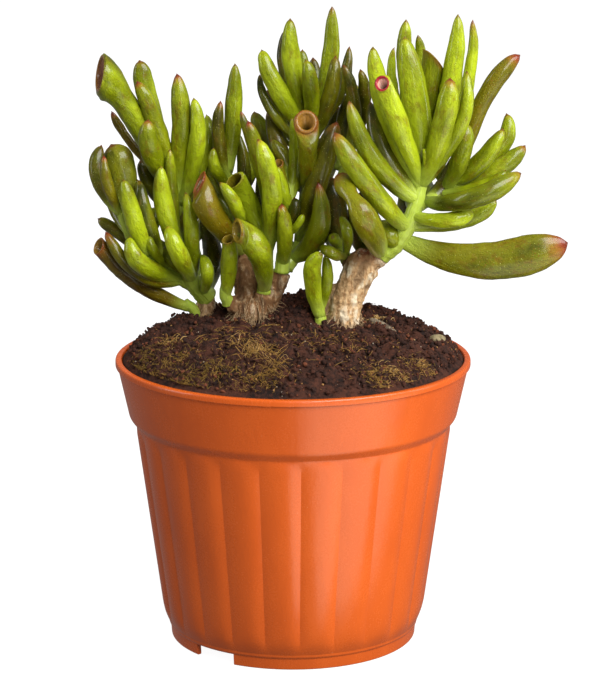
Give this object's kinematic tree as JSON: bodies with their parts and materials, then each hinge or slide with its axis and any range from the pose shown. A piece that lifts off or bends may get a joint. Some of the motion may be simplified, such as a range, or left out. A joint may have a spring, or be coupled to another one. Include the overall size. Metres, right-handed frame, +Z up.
{
  "type": "potted jade plant",
  "caption": "Jade plant with rolled, finger-shaped leaves on short woody stems, standing in a round fluted plastic nursery pot filled with soil.",
  "frame": {"origin": "middle of the whole plant's box, at the level of the pot's foot", "axes": "+Z up along the pot's axis, +X to the right and +Y to the back as the plant is seen from the front"},
  "size_m": [0.1594, 0.12, 0.2129],
  "materials": {
    "terracotta_plastic": "satin, moulded",
    "potting_soil": "loose, matt and damp",
    "bark": "rough, flaking",
    "leaf": "fleshy, glossy, red at the tips",
    "chip": "weathered",
    "pebble": "matt"
  },
  "bodies": {
    "root": {"trunk_left": "bark", "trunk_middle": "bark", "trunk_right": "bark", "stem_left_front": "leaf", "stem_left_side": "leaf", "stem_left_back": "leaf", "shoot_low_left": "leaf", "stem_middle_left": "leaf", "stem_middle_front": "leaf", "shoot_middle_low": "leaf", "stem_middle_right": "leaf", "stem_middle_tall": "leaf", "shoot_low_front": "leaf", "stem_right_left": "leaf", "crown_right": "leaf", "stem_right_side": "leaf", "pot": "terracotta_plastic", "soil": "potting_soil", "pebble": "pebble", "bark_chip": "chip"}
  },
  "joints": []
}
